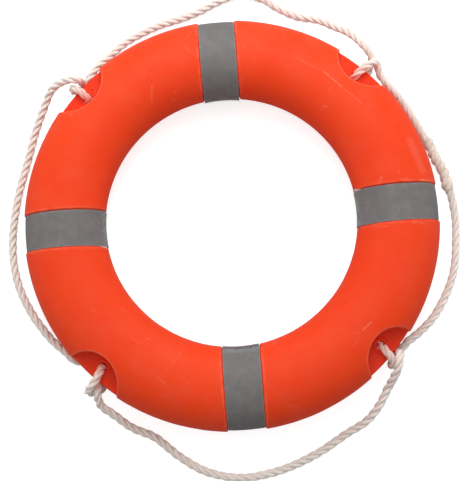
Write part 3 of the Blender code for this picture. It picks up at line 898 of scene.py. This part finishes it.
def span(tree, value, low, high, start=0.0, end=1.0):
    # eases from start to end as the value goes from low to high
    limits = {"Value": value, "From Min": low, "From Max": high, "To Min": start, "To Max": end}
    return place(tree, "ShaderNodeMapRange", limits, interpolation_type="SMOOTHSTEP").outputs["Result"]


def blend(tree, share, first, second):
    return place(tree, "ShaderNodeMix", {0: share, 6: first, 7: second}, data_type="RGBA").outputs[2]


def coats(tree, colour, *layers):
    # lays each layer's colour over the ones before, by its mask and the share of it that shows
    for mask, share, tint in layers:
        colour = blend(tree, mask if share == 1 else product(tree, mask, share), colour, tint)
    return colour


def noise(tree, where, scale, detail=3.0, roughness=0.55, distortion=0.0):
    sockets = {"Vector": where, "Scale": scale, "Detail": detail, "Roughness": roughness,
               "Distortion": distortion}
    return place(tree, "ShaderNodeTexNoise", sockets).outputs["Fac"]


def cells(tree, where, scale):
    sockets = {"Vector": where, "Scale": scale}
    return place(tree, "ShaderNodeTexVoronoi", sockets, feature="F1").outputs["Distance"]


def attribute(tree, name):
    return place(tree, "ShaderNodeAttribute", attribute_name=name).outputs["Fac"]


def makeGroup(name, inputs, output="Mask"):
    group = bpy.data.node_groups.new(name, "ShaderNodeTree")
    for label, value in inputs.items():
        group.interface.new_socket(label, in_out="INPUT", socket_type="NodeSocketFloat").default_value = value
    group.interface.new_socket(output, in_out="OUTPUT", socket_type="NodeSocketFloat")
    out = group.nodes.new("NodeGroupOutput").inputs[output]
    return group, group.nodes.new("NodeGroupInput").outputs, out, ownPlace(group)


def grainGroup():
    # a fine surface grain, with a coarser unevenness under it
    group, given, out, where = makeGroup("fineGrain", {"Scale": 600.0, "Coarse": 0.3}, "Height")
    fine = noise(group, where, given["Scale"], 2.0, 0.6)
    broad = noise(group, where, product(group, given["Scale"], 0.09))
    group.links.new(maths(group, "ADD", fine, product(group, broad, given["Coarse"])), out)
    return group


def scuffGroup():
    # thin scratches that run mostly one way, in patches
    group, given, out, where = makeGroup("scuffs", {"Scale": 60.0, "Amount": 0.5, "Turn": 0.4})
    turned = place(group, "ShaderNodeVectorRotate", {"Vector": where, "Angle": given["Turn"]},
                   rotation_type="Z_AXIS")
    drawnOut = vector(group, "MULTIPLY", turned.outputs[0], (1.0, 0.07, 1.0))
    lines = noise(group, drawnOut, given["Scale"], 4.0, 0.7, 0.35)
    patches = noise(group, where, product(group, given["Scale"], 0.16), 2.0)
    mask = product(group, span(group, lines, 0.60, 0.74), span(group, patches, 0.48, 0.68))
    group.links.new(product(group, mask, given["Amount"], True), out)
    return group


def dustGroup():
    # dust that settles in blotches on what faces up
    group, given, out, where = makeGroup("dust", {"Scale": 40.0, "Amount": 0.3})
    normal = place(group, "ShaderNodeNewGeometry").outputs["Normal"]
    facing = place(group, "ShaderNodeSeparateXYZ", {0: normal})
    blotches = span(group, noise(group, where, given["Scale"], 5.0, 0.62), 0.38, 0.72)
    mask = product(group, span(group, facing.outputs[2], -0.1, 0.9, 0.25, 1.0), blotches)
    group.links.new(product(group, mask, given["Amount"], True), out)
    return group


def edgeGroup():
    # wear along edges: a mask of what stands proud, broken up by noise
    group, given, out, where = makeGroup("edgeWear", {"Edge": 0.0, "Scale": 90.0, "Amount": 0.5})
    broken = span(group, noise(group, where, given["Scale"], 4.0, 0.65), 0.30, 0.66)
    group.links.new(product(group, given["Edge"], product(group, broken, given["Amount"]), True), out)
    return group


def scratchGroup():
    # one scratch on the front, from a start to an end, soft at its sides and broken along its length
    ends = {"Start X": 0.0, "Start Y": 0.0, "End X": 0.1, "End Y": 0.0}
    group, given, out, where = makeGroup("scratch", {**ends, "Width": 0.001, "Amount": 0.5})
    corners = [{0: given[f"{which} X"], 1: given[f"{which} Y"]} for which in ("Start", "End")]
    start, end = (place(group, "ShaderNodeCombineXYZ", corner).outputs[0] for corner in corners)
    line = vector(group, "SUBTRACT", end, start)
    fromStart = vector(group, "SUBTRACT", vector(group, "MULTIPLY", where, (1.0, 1.0, 0.0)), start)
    along, whole = (vector(group, "DOT_PRODUCT", other, line, "Value") for other in (fromStart, line))
    share = maths(group, "DIVIDE", along, whole, True)
    foot = place(group, "ShaderNodeVectorMath", {0: line, "Scale": share}, operation="SCALE").outputs[0]
    ragged = maths(group, "SUBTRACT", noise(group, where, 900.0, 3.0, 0.7), 0.5)
    gap = maths(group, "ADD", vector(group, "DISTANCE", fromStart, foot, "Value"),
                product(group, ragged, given["Width"]))
    broken = span(group, noise(group, where, 260.0, 3.0, 0.6), 0.30, 0.58, 0.25, 1.0)
    mask = product(group, span(group, maths(group, "DIVIDE", gap, given["Width"]), 1.25, 0.30), broken)
    height = place(group, "ShaderNodeSeparateXYZ", {0: where}).outputs[2]
    mask = product(group, mask, span(group, height, 0.060, 0.066))
    group.links.new(product(group, mask, given["Amount"], True), out)
    return group


groups = {"scratch": scratchGroup(), "grain": grainGroup(), "scuffs": scuffGroup(), "dust": dustGroup(),
          "edge": edgeGroup()}


def effect(tree, name, **sockets):
    return place(tree, "ShaderNodeGroup", sockets, node_tree=groups[name]).outputs[0]


def worn(tree, scale, amount):
    return effect(tree, "edge", Edge=attribute(tree, "proud"), Scale=scale, Amount=amount)


def newMaterial(name):
    made = bpy.data.materials.new(name)
    made.use_nodes = True
    tree = made.node_tree
    return made, tree, tree.nodes["Principled BSDF"], ownPlace(tree)


def surface(tree, shader, colour, roughness, height, strength, distance):
    bump = place(tree, "ShaderNodeBump", {"Height": height, "Strength": strength, "Distance": distance})
    fill(tree, shader, {"Base Color": colour, "Roughness": roughness, "Normal": bump.outputs[0]})


skinLook = {
    "base": (0.93, 0.062, 0.012, 1),
    # a deeper tone at random, and the painted shade in recesses
    "deepToneAndShade": (0.89, 0.048, 0.009, 1),
    "faded": (0.94, 0.078, 0.020, 1),
    # painted shade for the webs inside the pockets
    "web": (0.84, 0.040, 0.0075, 1),
    # lighter orange for worn edges, and for the painted highlight along the rims
    "edge": (1.00, 0.170, 0.090, 1),
    # pale scuffs and scratches, and the painted highlight by the right outer edge
    "scuffAndHighlight": (0.92, 0.330, 0.230, 1),
    "grime": (0.40, 0.040, 0.020, 1),
    "dust": (0.72, 0.420, 0.350, 1),
    "roughness": 0.52,
    "shine": 0.12,
}

# scratches on the front, and one wide painted highlight by the right outer edge: half width, strength, and the
# line of each
paleScratchesAndHighlight = [
    (0.0010, 0.20, [(0.1365, 0.2621), (0.1599, 0.2469), (0.1788, 0.2350)]),
    (0.0013, 0.41, [(0.1788, 0.2350), (0.1910, 0.2225), (0.2072, 0.2049)]),
    (0.0009, 0.28, [(0.2072, 0.2049), (0.2275, 0.1848), (0.2374, 0.1738)]),
    (0.0012, 0.38, [(0.2166, -0.1965), (0.2017, -0.2089)]),
    (0.0014, 0.37, [(0.1932, -0.2127), (0.1936, -0.2131)]),
    (0.0014, 0.52, [(0.2874, 0.0503), (0.2877, 0.0505)]),
    (0.0006, 0.25, [(0.2880, 0.0604), (0.2872, 0.0553)]),
    (0.0016, 0.34, [(0.3253, 0.0358), (0.3360, 0.0346)]),
    (0.0012, 0.26, [(0.2883, 0.0372), (0.2967, 0.0369)]),
    (0.0020, 0.19, [(0.3024, -0.0370), (0.3240, -0.0387)]),
    (0.0014, 0.19, [(0.2418, -0.0390), (0.2619, -0.0392)]),
    (0.0024, 0.16, [(-0.1174, 0.2371), (-0.1203, 0.2105)]),
    (0.0014, 0.42, [(0.0447, 0.2921), (0.0449, 0.2924)]),
    (0.0012, 0.37, [(0.3263, 0.0921), (0.3265, 0.0924)]),
    # not a scratch: a wide pale patch painted as a highlight
    (0.0080, 0.16, [(0.3141, 0.1054), (0.3304, 0.0518)]),
]
darkScratches = [
    (0.0009, 0.42, [(-0.1129, 0.2611), (-0.1205, 0.2590), (-0.1212, 0.2537), (-0.1184, 0.2433)]),
    (0.0010, 0.50, [(-0.2938, -0.0388), (-0.2936, -0.0384)]),
]


def scratchMask(tree, scratches):
    total = 0.0
    for width, amount, line in scratches:
        for (x1, y1), (x2, y2) in zip(line, line[1:]):
            ends = {"Start X": x1, "Start Y": y1, "End X": x2, "End Y": y2}
            total = maths(tree, "MAXIMUM", total, effect(tree, "scratch", **ends, Width=width, Amount=amount))
    return total


def skinMaterial():
    made, tree, shader, where = newMaterial("orangeSkin")
    broad, cloudy = noise(tree, where, 7.0, 3.0, 0.5, 0.6), noise(tree, where, 16.0, 5.0, 0.6)
    marks = maths(tree, "MAXIMUM", effect(tree, "scuffs", Scale=75.0, Amount=0.45, Turn=0.7),
                  effect(tree, "scuffs", Scale=110.0, Amount=0.30, Turn=-0.9))
    marks = maths(tree, "MAXIMUM", marks, scratchMask(tree, paleScratchesAndHighlight))
    colour = coats(tree, skinLook["base"],
                   (span(tree, broad, 0.35, 0.68), 0.42, skinLook["deepToneAndShade"]),
                   (span(tree, cloudy, 0.45, 0.75), 0.30, skinLook["faded"]),
                   (worn(tree, 70.0, 0.8), 1, skinLook["edge"]),
                   # painted shade: darker where the skin lies sunk in a recess
                   (attribute(tree, "sunk"), 0.30, skinLook["deepToneAndShade"]),
                   # painted shade on the web inside each pocket, as from the pocket's walls
                   (attribute(tree, "web"), 0.85, skinLook["web"]),
                   # painted highlight along the pockets' rims
                   (attribute(tree, "rim"), 0.65, skinLook["edge"]),
                   # scuffs and scratches, with the painted highlight by the right outer edge
                   (marks, 1, skinLook["scuffAndHighlight"]),
                   (scratchMask(tree, darkScratches), 1, skinLook["grime"]),
                   (effect(tree, "dust", Scale=26.0, Amount=0.03), 1, skinLook["dust"]))
    rough = maths(tree, "ADD", span(tree, cloudy, 0.3, 0.75, -0.05, 0.07), skinLook["roughness"])
    rough = maths(tree, "ADD", rough, product(tree, marks, 0.3), True)
    grain = effect(tree, "grain", Scale=420.0, Coarse=1.4)
    height = maths(tree, "SUBTRACT", grain, product(tree, marks, 0.5))
    surface(tree, shader, colour, rough, height, 0.22, 0.0006)
    shader.inputs["Specular IOR Level"].default_value = skinLook["shine"]
    return made


tapeLook = {
    "base": (0.164, 0.156, 0.154, 1),
    "dark": (0.114, 0.107, 0.106, 1),
    "warm": (0.205, 0.180, 0.172, 1),
    "edge": (0.270, 0.330, 0.345, 1),
    "dust": (0.420, 0.380, 0.360, 1),
    "roughness": 0.62,
}


def tapeMaterial():
    made, tree, shader, where = newMaterial("greyTape")
    speckle = noise(tree, where, 1500.0, 2.0, 0.7)
    soil = maths(tree, "MAXIMUM", effect(tree, "dust", Scale=60.0, Amount=0.10),
                 effect(tree, "scuffs", Scale=160.0, Amount=0.12, Turn=0.2))
    colour = coats(tree, tapeLook["base"],
                   (span(tree, speckle, 0.3, 0.7), 0.5, tapeLook["dark"]),
                   (span(tree, noise(tree, where, 30.0, 4.0, 0.6), 0.4, 0.7), 0.22, tapeLook["warm"]),
                   (worn(tree, 240.0, 1.0), 1, tapeLook["edge"]),
                   (soil, 1, tapeLook["dust"]))
    rough = span(tree, speckle, 0.3, 0.7, tapeLook["roughness"] - 0.08, tapeLook["roughness"] + 0.08)
    grain = maths(tree, "ADD", effect(tree, "grain", Scale=1100.0, Coarse=0.8), cells(tree, where, 900.0))
    surface(tree, shader, colour, rough, grain, 0.20, 0.0003)
    return made


backingLook = {"base": (0.74, 0.72, 0.69, 1), "soiled": (0.52, 0.47, 0.43, 1), "roughness": (0.8, 0.92)}


def backingMaterial():
    made, tree, shader, where = newMaterial("paleBacking")
    cloth = noise(tree, where, 1200.0, 2.0, 0.7)
    patches = span(tree, noise(tree, where, 60.0, 4.0), 0.4, 0.7, 0.0, 0.5)
    soil = maths(tree, "ADD", patches, product(tree, cloth, 0.3))
    colour = coats(tree, backingLook["base"], (soil, 1, backingLook["soiled"]),
                   (worn(tree, 200.0, 0.6), 1, backingLook["base"]))
    surface(tree, shader, colour, span(tree, cloth, 0.3, 0.7, *backingLook["roughness"]),
            effect(tree, "grain", Scale=1300.0, Coarse=0.3), 0.4, 0.0003)
    return made


ropeLook = {
    "base": (0.96, 0.905, 0.845, 1),
    "warm": (0.94, 0.860, 0.780, 1),
    # painted shade in the rope's grooves, tinted pink as by light from the orange ring
    "hollow": (0.90, 0.760, 0.680, 1),
    "stain": (0.86, 0.300, 0.200, 1),
    "soil": (0.76, 0.660, 0.540, 1),
    "speck": (0.20, 0.170, 0.120, 1),
    "dust": (0.72, 0.670, 0.620, 1),
    "roughness": (0.78, 0.95),
    "sheen": 0.25,
}


def ropeMaterial():
    made, tree, shader, where = newMaterial("laidRope")
    tone, fibre = noise(tree, where, 55.0, 4.0, 0.6), noise(tree, where, 1500.0, 3.0, 0.75)
    yarn = maths(tree, "COSINE", attribute(tree, "yarn"))
    stained = product(tree, attribute(tree, "stain"), span(tree, tone, 0.25, 0.65, 0.5, 1.0))
    soiled = product(tree, attribute(tree, "worn"), span(tree, fibre, 0.3, 0.7, 0.35, 0.8))
    colour = coats(tree, ropeLook["base"],
                   (span(tree, tone, 0.35, 0.7), 1, ropeLook["warm"]),
                   # painted shade, tinted pink, in the grooves between the yarns and between the strands
                   (span(tree, yarn, 0.1, -1.0), 0.30, ropeLook["hollow"]),
                   (span(tree, attribute(tree, "depth"), 0.96, 0.62), 0.7, ropeLook["hollow"]),
                   (stained, 0.85, ropeLook["stain"]),
                   (soiled, 1, ropeLook["soil"]),
                   (effect(tree, "dust", Scale=90.0, Amount=0.12), 1, ropeLook["dust"]),
                   (span(tree, noise(tree, where, 190.0, 1.0, 0.5), 0.775, 0.80), 0.8, ropeLook["speck"]))
    height = maths(tree, "ADD", product(tree, yarn, 0.25), effect(tree, "grain", Scale=1500.0, Coarse=0.5))
    surface(tree, shader, colour, span(tree, fibre, 0.3, 0.7, *ropeLook["roughness"]), height, 0.55, 0.0005)
    fill(tree, shader, {"Sheen Weight": ropeLook["sheen"], "Sheen Roughness": 0.5})
    return made


foamLook = {"base": (0.80, 0.66, 0.38, 1), "cell": (0.62, 0.47, 0.24, 1), "roughness": 0.95}


def foamMaterial():
    made, tree, shader, where = newMaterial("rigidFoam")
    bubbles = cells(tree, where, 500.0)
    colour = coats(tree, foamLook["base"], (span(tree, bubbles, 0.2, 0.8), 1, foamLook["cell"]))
    surface(tree, shader, colour, foamLook["roughness"], bubbles, 0.4, 0.001)
    return made


# Floor and light

studio = {
    "floor": 14.0,
    "floorHeight": -0.0005,
    "floorTones": [(0.62, 0.62, 0.62, 1), (0.64, 0.64, 0.64, 1)],
    "floorGlow": 0.75,  # only to the camera, so the floor reads white without lighting the ring from below
    "world": 0.30,
    "backdrop": 0.92,  # how bright the world looks behind the floor
    "lights": [  # name, place, size, power
        ("key", (0.10, 1.30, 1.45), 1.3, 22.5),
        ("overhead", (0.0, 0.3, 3.0), 2.6, 23.0),
        ("right", (2.0, 0.4, 0.8), 1.2, 7.0),
        ("left", (-2.0, 0.4, 0.8), 1.2, 7.0),
    ],
}


def floorMaterial():
    made, tree, shader, where = newMaterial("paleFloor")
    seen = place(tree, "ShaderNodeLightPath").outputs["Is Camera Ray"]
    tone = blend(tree, noise(tree, where, 3.0, 2.0), *studio["floorTones"])
    glow = blend(tree, seen, (0, 0, 0, 1), (1, 1, 1, 1))
    fill(tree, shader, {"Base Color": tone, "Roughness": 0.9, "Emission Color": glow,
                        "Emission Strength": studio["floorGlow"]})
    return made


def paint(pieces, material):
    for piece in pieces:
        piece.data.materials.clear()
        piece.data.materials.append(material)


paint([*skins, *plugPieces], skinMaterial())
paint(tapes, tapeMaterial())
paint(backings, backingMaterial())
paint(ropes, ropeMaterial())
paint([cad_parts["foam_core"]], foamMaterial())
print("materials painted")


def makeStudio():
    bm = bmesh.new()
    bmesh.ops.create_grid(bm, x_segments=2, y_segments=2, size=studio["floor"] / 2)
    data = bpy.data.meshes.new("floor")
    bm.to_mesh(data)
    bm.free()
    floor = linked("floor", data)
    floor.location = (0, 0, studio["floorHeight"])
    paint([floor], floorMaterial())
    for name, spot, size, power in studio["lights"]:
        lamp = bpy.data.lights.new(name, "AREA")
        lamp.shape, lamp.size, lamp.energy = "SQUARE", size, power
        made = linked(name, lamp)
        made.location = spot
        made.rotation_euler = (-Vector(spot)).to_track_quat("-Z", "Y").to_euler()
    world = bpy.data.worlds.new("studio")
    world.use_nodes = True
    tree = world.node_tree
    seen = place(tree, "ShaderNodeLightPath").outputs["Is Camera Ray"]
    strength = span(tree, seen, 0.0, 1.0, studio["world"], studio["backdrop"])
    fill(tree, tree.nodes["Background"], {"Color": (1, 1, 1, 1), "Strength": strength})
    bpy.context.scene.world = world
    bpy.context.scene.view_settings.view_transform = "Standard"


makeStudio()
print("studio lit")
